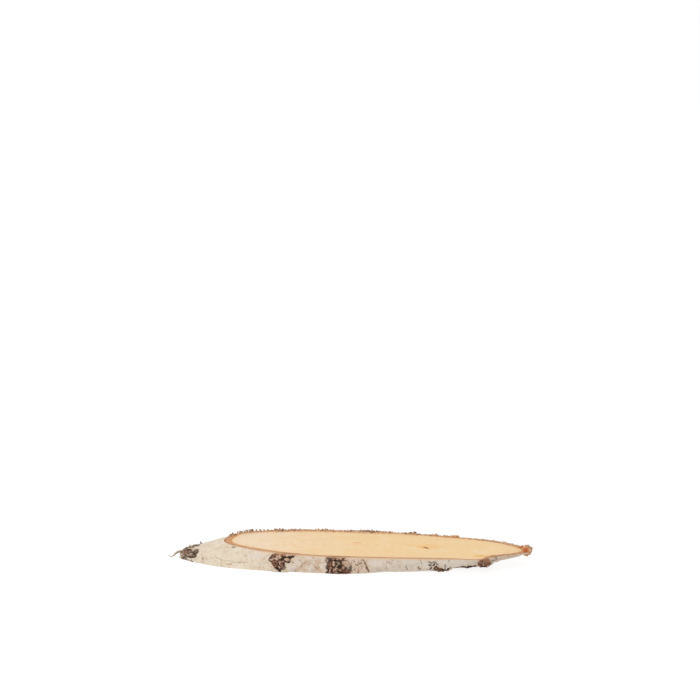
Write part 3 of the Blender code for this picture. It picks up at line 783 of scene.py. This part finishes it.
white_bark.tint(specks, 0.20, 0.08, 0.35, (170, 148, 122))


def frayed(kind, low=0.35, high=0.6):
    """Where a kind of mark shows, with a frayed edge."""
    return white_bark.step(white_bark.waver(white_bark.mark(kind), fray, 0.9), low, high)


# The cork of the scars: dark brown of its own, near-black in its cracks, where that is painted shade, and
# pale on its ridges; greyer at the left tip.
skin_coat = white_bark.coat
ridge = white_bark.waver(white_bark.mark("ridge"), grain, 1.0)
ash_colour = white_bark.ramp(ridge, (0.05, 70, 54, 40), (0.25, 102, 84, 66), (0.45, 142, 124, 104),
                             (0.62, 176, 160, 142), (0.85, 218, 204, 188))
white_bark.coat = white_bark.ramp(ridge, (0.05, 40, 20, 11), (0.25, 78, 48, 34), (0.45, 130, 92, 72),
                                  (0.62, 168, 130, 108), (0.85, 222, 190, 168))
white_bark.paint(white_bark.mark("ashen"), ash_colour)
white_bark.paint(frayed("grey"), (134, 122, 106), 0.7)
white_bark.paint(white_bark.mark("rust"), (162, 108, 78), 0.55)
cork_coat = white_bark.coat

# The strokes: first those on the skin, then the cork, and then those that lie over both.
white_bark.coat = skin_coat
white_bark.paint(white_bark.mark("white"), (226, 214, 202), 0.6)
for kind, colour, strength in (("lilac", (194, 180, 172), 0.6), ("tan", (201, 172, 146), 0.62),
                               ("grey", (134, 122, 106), 0.8), ("rust", (190, 128, 92), 0.8)):
    white_bark.paint(frayed(kind), colour, strength)
cork_share = white_bark.add("Math", {0: frayed("cork"), 1: frayed("dark", 0.45, 0.7)}, operation="MAXIMUM")
white_bark.paint(cork_share, cork_coat)
white_bark.paint(frayed("pale", 0.35, 0.9), (206, 174, 148), 0.55)
white_bark.paint(frayed("inner"), (178, 122, 88), 0.75)
white_bark.paint(frayed("thread", 0.3, 1.0), (128, 104, 80), 0.85)
# Along the upper edge of the front: the bark's warm fringe, lightened as a painted highlight.
white_bark.paint(white_bark.mark("top"), (232, 204, 173), 0.8)
white_bark.done(white_bark.plus(fray, white_bark.times(fine_lines, 0.6)), 0.0004, 0.5)

bark_face, bark_marked = bark_rows()
bark = skin("white_bark", bark_face, white_bark, bark_marked, closed=True)
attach(bark, "root")
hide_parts("birch_slice")


# The torn fringe: chips and splinters of bark that the saw tore up along the back rim.
# Each is a thin tapered chip, bent and ragged, that stands in the rim with its foot sunk
# in. To the left they stand out as single splinters, and to the right they are short.
CHIPS_PER_MM = 2.6
SPLINTER_CHIPS = 5
CHIP_WIDTHS = (1.0, 2.0)  # in millimetres, as the thicknesses are
CHIP_THICKNESSES = (0.7, 1.5)
CHIP_DEPTHS = (0.06, 0.6)  # from the white skin in, as a share of the bark's thickness
CHIP_FOOT = 0.0005  # how deep a chip stands in the rim
CALM_FROM = (121, 123)  # between these angles the fringe calms down to short and even chips
CALM = 0.3
FRINGE_SEED = 5
# The top of the fringe: angle, and height in millimetres over the cut.
FRINGE = (
    (11, 0.7), (18, 1.0), (24, 0.2), (34, 0.3), (40, 0.8), (44, 1.1), (46, 2.8), (48, 2.0), (52, 1.5),
    (57, 1.7), (62, 1.3), (68, 1.8), (70.5, 1.5), (72, 0.5), (77, 1.0), (78.5, 1.4), (81, 1.1), (84, 1.8),
    (88.5, 1.8), (90, 1.1), (93, 1.1), (95, 1.7), (96.5, 0.1), (99, 0.3), (101.5, 1.4), (103.5, 1.3),
    (105, 2.4), (107, 1.0), (109, 0.3), (112.5, 0.5), (114.5, 2.1), (116, 0.3), (118, 0.6), (120, 1.4),
    (122, 0.8), (123.5, 2.2), (125.5, 2.4), (126.5, 0.5), (134, 0.3), (145, 0.6), (160, 0.5), (166, 0.4),
)
# Splinters that stand out of it to the left: angle, height in millimetres, how grey.
SPLINTERS = (
    (15.4, 2.2, 0.7), (19.2, 2.8, 0.9), (24.9, 2.8, 0.9), (26.8, 3.4, 1.0), (28.2, 3.0, 1.0),
    (30.0, 3.0, 0.9), (32.0, 3.8, 1.0), (33.7, 4.2, 1.0), (35.1, 4.2, 1.0), (37.4, 3.6, 0.8),
    (39.2, 3.6, 0.8), (40.9, 3.2, 0.7), (42.6, 3.2, 1.0), (46.0, 3.4, 1.0), (46.9, 3.2, 1.0),
)
# Where its chips are darker, or lighter if below 0: angle, spread, and by how much.
CHIP_TONES = ((86, 10, 0.7), (58, 12, -0.25))


def chip_tree():
    """Geometry Nodes that stand a thin, bent, ragged chip on every point, by its turn and size."""
    tree = bpy.data.node_groups.new("torn_chips", "GeometryNodeTree")
    sizes = (("Width", 1.0), ("Thickness", 0.35), ("Taper", 0.6), ("Bend", 0.3),
             ("Raggedness", 0.0005), ("Grain", 0.0009), ("Seed", 0.0))
    tree.interface.new_socket("Geometry", in_out="INPUT", socket_type="NodeSocketGeometry")
    for name, value in sizes:
        tree.interface.new_socket(name, in_out="INPUT", socket_type="NodeSocketFloat").default_value = value
    tree.interface.new_socket("Finish", in_out="INPUT", socket_type="NodeSocketMaterial")
    tree.interface.new_socket("Geometry", in_out="OUTPUT", socket_type="NodeSocketGeometry")
    given = tree.nodes.new("NodeGroupInput").outputs

    def maths(operation, a, b=0.0):
        return wire(tree, "ShaderNodeMath", {0: a, 1: b}, operation=operation)

    def vector(x, y, z):
        return wire(tree, "ShaderNodeCombineXYZ", {"X": x, "Y": y, "Z": z})

    def geometry(kind, inputs, out=0, **settings):
        return wire(tree, "GeometryNode" + kind, inputs, out, **settings)

    block = geometry("MeshCube", {
        "Size": vector(given["Width"], given["Thickness"], 1.0),
        "Vertices X": 3, "Vertices Y": 2, "Vertices Z": 4,
    })
    split = tree.nodes.new("ShaderNodeSeparateXYZ")
    tree.links.new(geometry("InputPosition", {}), split.inputs[0])
    x, y, z = split.outputs
    climb = maths("ADD", z, 0.5)
    narrowed = maths("MULTIPLY", x, maths("SUBTRACT", 1.0, maths("MULTIPLY", climb, given["Taper"])))
    bent = maths("ADD", y, maths("MULTIPLY", maths("MULTIPLY", climb, climb), given["Bend"]))
    marked = geometry("StoreNamedAttribute", {"Geometry": block, "Name": "climb", "Value": climb},
                      data_type="FLOAT", domain="POINT")
    chip = geometry("SetPosition", {"Geometry": marked, "Position": vector(narrowed, bent, climb)})
    turn = geometry("InputNamedAttribute", {"Name": "turn"}, data_type="FLOAT_VECTOR")
    size = geometry("InputNamedAttribute", {"Name": "size"}, data_type="FLOAT_VECTOR")
    rotation = wire(tree, "FunctionNodeEulerToRotation", {"Euler": turn})
    stood = geometry("InstanceOnPoints", {
        "Points": given["Geometry"], "Instance": chip, "Rotation": rotation, "Scale": size,
    })
    loose = geometry("RealizeInstances", {"Geometry": stood})
    crumble = wire(tree, "ShaderNodeTexNoise", {
        "W": given["Seed"], "Scale": maths("DIVIDE", 1.0, given["Grain"]), "Detail": 2.0,
    }, out="Color", noise_dimensions="4D")
    centred = wire(tree, "ShaderNodeVectorMath", {0: crumble, 1: (0.5, 0.5, 0.5)}, operation="SUBTRACT")
    offset = wire(tree, "ShaderNodeVectorMath", {0: centred, "Scale": given["Raggedness"]}, operation="SCALE")
    ragged = geometry("SetPosition", {"Geometry": loose, "Offset": offset})
    dressed = geometry("SetMaterial", {"Geometry": ragged, "Material": given["Finish"]})
    tree.links.new(dressed, tree.nodes.new("NodeGroupOutput").inputs["Geometry"])
    return tree


CHIPS = chip_tree()


def stand_chips(name, finish, chips, **sizes):
    """Stands a chip at each place: (place, growing way, facing way, width, thickness, length, tone)."""
    mesh = bpy.data.meshes.new(name)
    mesh.from_pydata([chip[0] for chip in chips], [], [])
    turns, scales = [], []
    for _, upward, facing, width, thick, length, _ in chips:
        upward = Vector(upward).normalized()
        across = Vector(facing).cross(upward).normalized()
        turns.extend(Matrix((across, upward.cross(across), upward)).transposed().to_euler())
        scales.extend((width, thick, length))
    mesh.attributes.new("turn", "FLOAT_VECTOR", "POINT").data.foreach_set("vector", turns)
    mesh.attributes.new("size", "FLOAT_VECTOR", "POINT").data.foreach_set("vector", scales)
    mesh.attributes.new("tone", "FLOAT", "POINT").data.foreach_set("value", [chip[-1] for chip in chips])
    seeds = bpy.data.objects.new(name + "_points", mesh)
    bpy.context.scene.collection.objects.link(seeds)
    grown = seeds.modifiers.new("chips", "NODES")
    grown.node_group = CHIPS
    for item in CHIPS.interface.items_tree:
        if item.in_out == "INPUT" and item.name in sizes:
            grown[item.identifier] = float(sizes[item.name])
        if item.in_out == "INPUT" and item.name == "Finish":
            grown[item.identifier] = finish.material
    view = bpy.context.evaluated_depsgraph_get()
    piece = bpy.data.objects.new(name, bpy.data.meshes.new_from_object(seeds.evaluated_get(view)))
    bpy.data.objects.remove(seeds)
    bpy.context.scene.collection.objects.link(piece)
    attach(piece, "root")
    return piece


torn_bark = Finish("torn_bark", roughness=0.9, gloss=0.1)
speckle = torn_bark.clouds(torn_bark.place(), 0.0011, 3, 0.6)
shade = torn_bark.waver(torn_bark.mark("tone"), speckle, 0.9)
shade = torn_bark.plus(shade, torn_bark.times(torn_bark.mark("climb"), 0.30))
torn_bark.coat = torn_bark.ramp(shade, (0.0, 200, 146, 104), (0.22, 236, 190, 148), (0.42, 246, 216, 182),
                                (0.60, 216, 180, 146), (0.78, 130, 98, 72), (1.0, 184, 166, 148))
torn_bark.paint(torn_bark.mark("core"), (190, 104, 56))
torn_bark.done(speckle, 0.0003, 0.6)

rng = np.random.default_rng(FRINGE_SEED)
fringe = []


def fringe_chip(angle, height, lean, tone, width, wild):
    """One chip at this angle on the torn rim, with its height and width in millimetres.

    The lean is towards the left tip, and wild says how far it strays in its way and its tone.
    """
    depth = rng.uniform(*CHIP_DEPTHS) * bark_thickness(angle)
    foot = trunk_point(angle, 1.0, depth)
    foot[2] -= CHIP_FOOT
    ahead = trunk_point(angle + 0.3, 1.0) - trunk_point(angle - 0.3, 1.0)
    ahead /= np.linalg.norm(ahead)
    facing = np.cross(ahead, (0, 0, 1)) + rng.normal(0, 0.45, 3)
    upward = np.array((-lean, 0, 1.0)) + wild * (ahead * rng.normal(0, 0.28) + facing * rng.normal(0.0, 0.25))
    tone = np.clip(tone - 0.08 * depth / MM + wild * rng.normal(0, 0.24), 0.0, 1.0)
    thick, length = MM * rng.uniform(*CHIP_THICKNESSES), height * MM + CHIP_FOOT
    fringe.append((foot, upward, facing, MM * width, thick, length, tone))


top = np.array(FRINGE)
run = np.linspace(top[0, 0], top[-1, 0], 400)
paces = np.linalg.norm(np.diff(trunk_point(run, 1.0), axis=0), axis=1)
along_rim = np.concatenate(([0.0], np.cumsum(paces)))
for place in np.arange(0.0, along_rim[-1], MM / CHIPS_PER_MM):
    angle = np.interp(place + rng.normal(0, 0.0004), along_rim, run)
    wild = np.interp(angle, CALM_FROM, (1.0, CALM))
    height = np.interp(angle, top[:, 0], top[:, 1]) * (1.0 + wild * rng.uniform(-0.4, 0.45))
    height += wild * rng.uniform(0.0, 0.6)
    grey = 0.35 + 0.5 * float(lumps(np.array((angle / 9.0, 0.0, 0.0)), 1.0))
    grey += sum(more * near(angle, centre, spread) for centre, spread, more in CHIP_TONES)
    tone, width = wild * (0.22 + 0.42 * grey), rng.uniform(*CHIP_WIDTHS)
    fringe_chip(angle, height, lean=0.1, tone=tone, width=width, wild=wild)
for angle, height, grey in SPLINTERS:
    for _ in range(SPLINTER_CHIPS):
        spot, length = angle + rng.normal(0, 0.05), height * rng.uniform(0.7, 1.0)
        fringe_chip(spot, length, lean=0.5, tone=0.14 + 0.35 * grey, width=0.9, wild=CALM)
fringe_piece = stand_chips("torn_fringe", torn_bark, fringe, Taper=0.4, Bend=0.25, Raggedness=0.0009, Seed=1)
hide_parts("birch_slice")


# The lump at the right tip: a wad of inner bark that stands round the point of the cut,
# orange inside and paler round it, with loose crumbs of the same bark stuck all over it.
LUMP_CENTRE = (0.1743, 0.0030, 0.0150)
LUMP_RADII = (0.0046, 0.0064, 0.0049)
LUMP_ROWS = 26
LUMP_STATIONS = 60
CORE_WAY = (-0.10, -0.85, 0.42)  # from the lump's centre to its orange core
CORE_SPREAD = 0.80
# Its bumps: how high, how long, and in how many layers.
LUMP_BUMPS = ((0.0010, 0.0034, 3), (0.0004, 0.0013, 2))
KNOB_CRUMBS = 150
CRUMB_WIDTHS = (0.8, 1.7)  # in millimetres, as the next two are
CRUMB_THICKNESSES = (0.7, 1.4)
CRUMB_LENGTHS = (0.7, 1.5)
CRUMB_FOOT = 0.0004
up_turn = np.linspace(-np.pi / 2, np.pi / 2, LUMP_ROWS + 2)[1:-1, None]
round_turn = np.linspace(0, 2 * np.pi, LUMP_STATIONS, endpoint=False)[None, :]
ball = np.stack((np.cos(up_turn) * np.cos(round_turn), np.cos(up_turn) * np.sin(round_turn),
                 np.sin(up_turn) + 0 * round_turn), axis=-1)
lump_rows = LUMP_CENTRE + ball * LUMP_RADII
lump_rows += ball * sum(rise * lumps(lump_rows, size, depth) for rise, size, depth in LUMP_BUMPS)[..., None]
core = np.clip(1.35 - np.linalg.norm(ball - CORE_WAY, axis=-1) / CORE_SPREAD, 0.0, 1.0)
lump_tone = 0.08 + 0.14 * lumps(lump_rows, 0.0020, 2) + 0.28 * (ball[..., 0] > 0.45)
lump_tone = np.clip(lump_tone + 0.55 * np.clip((ball[..., 2] - 0.72) / 0.2, 0.0, 1.0), 0.0, 1.0)
lump = skin("tip_lump", lump_rows, torn_bark, {"tone": lump_tone, "core": core})
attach(lump, "root")
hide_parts("birch_slice")

crumbs_at_knob = []
for _ in range(KNOB_CRUMBS):
    row, station = rng.integers(5, LUMP_ROWS), rng.integers(0, LUMP_STATIONS)
    way = ball[row, station]
    if way[0] < -0.5 or core[row, station] > 0.5:
        continue
    upward = way + rng.normal(0, 0.45, 3)
    crumbs_at_knob.append((lump_rows[row, station] - CRUMB_FOOT * way, upward, rng.normal(0, 1, 3),
                           MM * rng.uniform(*CRUMB_WIDTHS), MM * rng.uniform(*CRUMB_THICKNESSES),
                           MM * rng.uniform(*CRUMB_LENGTHS),
                           np.clip(rng.normal(0.20 + 0.25 * (way[0] > 0.3), 0.18), 0, 1)))
knob_piece = stand_chips("knob_crumbs", torn_bark, crumbs_at_knob, Taper=0.35, Bend=0.15,
                         Raggedness=0.0008, Seed=2)
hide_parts("birch_slice")


# The flakes of the scars: thin curled scales of dark cork that peel from the scars of the
# white bark, each grown on at one end, except on the bare spots between them.
SCAR_FLAKES = 900
FLAKE_WIDTHS = (0.6, 1.5)  # in millimetres, as the next two are
FLAKE_THICKNESSES = (0.3, 0.5)
FLAKE_LENGTHS = (0.7, 1.7)
FLAKE_FOOT = 0.0003
LOWEST_ROW = 2  # of the bark's rows, to keep the flakes off the table
NEAR_THE_TABLE = 0.0040  # below this height a flake never points down
scar_cork = Finish("scar_cork", roughness=0.85, gloss=0.2)
speckle = scar_cork.clouds(scar_cork.place(), 0.0009, 3, 0.6)
shade = scar_cork.waver(scar_cork.mark("tone"), speckle, 0.7)
scar_cork.coat = scar_cork.ramp(shade, (0.0, 44, 25, 16), (0.3, 84, 54, 40), (0.5, 126, 88, 68),
                                (0.7, 166, 128, 104), (0.9, 206, 178, 156), (1.0, 220, 200, 180))
scar_cork.done(speckle, 0.0003, 0.6)

bare = np.maximum(bark_marked["pale"], bark_marked["inner"]) > 0.4
corky = (bark_marked["cork"] > 0.75) & ~bare
cork_there = np.argwhere(corky[LOWEST_ROW:BARK_ROWS - 1]) + (LOWEST_ROW, 0)
flakes = []
for row, station in cork_there[rng.choice(len(cork_there), SCAR_FLAKES, replace=False)]:
    place = bark_face[row, station]
    normal = outward(float(angle_of(place)))
    slope = rng.normal(0, 1, 3)
    slope -= normal * (slope @ normal)
    slope /= np.linalg.norm(slope)
    upward = slope + normal * rng.uniform(0.15, 0.9)
    # A flake's tone follows the cork's folds, painted shade of the cracks included.
    tone = np.clip(bark_marked["ridge"][row, station] + rng.normal(0, 0.15), 0.0, 1.0)
    if place[2] < NEAR_THE_TABLE:
        upward[2] = abs(upward[2])
    flakes.append((place - normal * FLAKE_FOOT, upward, normal, MM * rng.uniform(*FLAKE_WIDTHS),
                   MM * rng.uniform(*FLAKE_THICKNESSES), MM * rng.uniform(*FLAKE_LENGTHS), tone))
flake_piece = stand_chips("scar_flakes", scar_cork, flakes, Taper=0.4, Bend=0.5, Raggedness=0.0008, Seed=3)
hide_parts("birch_slice")


# The loose strand at the left tip: a strip of bark that has peeled off the scar there and
# hangs down past the tip, curling up at its end, with a splinter that stands above it.
# Each course gives x, y and z in metres, and the width in millimetres.
STRIP_COURSE = (
    (-0.1680, -0.0030, 0.0027, 2.6), (-0.1706, -0.0054, 0.0032, 2.8), (-0.1728, -0.0090, 0.0030, 2.4),
    (-0.1742, -0.0130, 0.0023, 1.6), (-0.1752, -0.0158, 0.0015, 1.3), (-0.1768, -0.0162, 0.0013, 1.1),
    (-0.1788, -0.0152, 0.0014, 0.8), (-0.1802, -0.0142, 0.0018, 0.4),
)
SPLINTER_COURSE = (
    (-0.1520, 0.0122, 0.0046, 2.2), (-0.1521, 0.0122, 0.0062, 1.9), (-0.1525, 0.0122, 0.0074, 1.4),
    (-0.1530, 0.0122, 0.0085, 0.7),
)
STRAND_SIDES = 8
STRAND_STEPS = 6
STRAND_FLATNESS = 0.8
STRAND_GRAIN = 0.00012


def strand(name, course, finish, tone):
    """A thin tapering strip swept along its course."""
    course = np.array(course)
    knots = np.arange(len(course))
    fine = np.linspace(0, len(course) - 1, (len(course) - 1) * STRAND_STEPS + 1)
    smooth = np.stack([np.interp(fine, knots, course[:, k]) for k in range(4)], axis=-1)
    for _ in range(3):
        smooth[1:-1] = (smooth[:-2] + 2 * smooth[1:-1] + smooth[2:]) / 4
    way = np.gradient(smooth[:, :3], axis=0)
    way /= np.linalg.norm(way, axis=1, keepdims=True)
    side = np.cross(way, (0, 0, 1))
    side /= np.linalg.norm(side, axis=1, keepdims=True)
    above = np.cross(side, way)
    turns = np.linspace(0, 2 * np.pi, STRAND_SIDES, endpoint=False)[None, :, None]
    half = smooth[:, 3, None, None] * MM / 2
    ring = np.cos(turns) * side[:, None] + STRAND_FLATNESS * np.sin(turns) * above[:, None]
    rows = smooth[:, None, :3] + half * ring
    rows += STRAND_GRAIN * lumps(rows, 0.0008)[..., None]
    piece = skin(name, rows, finish, {"tone": np.full(rows.shape[:2], tone)})
    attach(piece, "root")
    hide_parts("birch_slice")


strand("peeling_strip", STRIP_COURSE, torn_bark, 1.0)
strand("splinter", SPLINTER_COURSE, scar_cork, 0.2)


# The floor, the light and the camera: a plain pale floor in a bright white room, with one
# large soft lamp above the front left, and a long lens from the front and a little above.
LENS = 85.0
SENSOR = 36.0
CAMERA_PLACE = (0.17650, -1.54551, 0.55928)
CAMERA_TILT = math.radians(77.434)
CAMERA_TURN = math.radians(6.5)
LAMP_PLACE = Vector((-0.7, -0.9, 1.7))
LAMP_SIZE = 2.4
LAMP_POWER = 12.0
FLOOR_SIZE = 12.0
FLOOR_GLOW = 0.86
UNDER_THE_SLICE = 0.0002
WHITE = (1, 1, 1, 1)

floor_finish = Finish("pale_floor", roughness=0.9, gloss=0.0)
dust = floor_finish.clouds(floor_finish.place(), 0.4, 2)
dusty = {"Value": dust, "From Min": 0.3, "From Max": 0.7, "To Min": 0.16, "To Max": 0.18}
floor_grey = floor_finish.add("MapRange", dusty, clamp=True)
floor_finish.tree.links.new(floor_grey, floor_finish.shader.inputs["Base Color"])
floor_finish.shader.inputs["Emission Color"].default_value = WHITE
floor_finish.shader.inputs["Emission Strength"].default_value = FLOOR_GLOW
bpy.ops.mesh.primitive_plane_add(size=FLOOR_SIZE, location=(0, 0, -UNDER_THE_SLICE))
floor = bpy.context.object
floor.name = "floor"
floor.data.materials.append(floor_finish.material)

world = bpy.data.worlds.new("white_room")
world.use_nodes = True
world.node_tree.nodes["Background"].inputs["Color"].default_value = WHITE
world.node_tree.nodes["Background"].inputs["Strength"].default_value = 1.0
bpy.context.scene.world = world

lamp_data = bpy.data.lights.new("soft_lamp", "AREA")
lamp_data.size = LAMP_SIZE
lamp_data.energy = LAMP_POWER
lamp = bpy.data.objects.new("soft_lamp", lamp_data)
lamp.location = LAMP_PLACE
lamp.rotation_euler = (-LAMP_PLACE).to_track_quat("-Z", "Y").to_euler()
bpy.context.scene.collection.objects.link(lamp)

camera_data = bpy.data.cameras.new("camera")
camera_data.lens = LENS
camera_data.sensor_width = SENSOR
camera = bpy.data.objects.new("camera", camera_data)
camera.location = CAMERA_PLACE
camera.rotation_euler = (CAMERA_TILT, 0.0, CAMERA_TURN)
bpy.context.scene.collection.objects.link(camera)
bpy.context.scene.camera = camera
bpy.context.scene.view_settings.view_transform = "Standard"
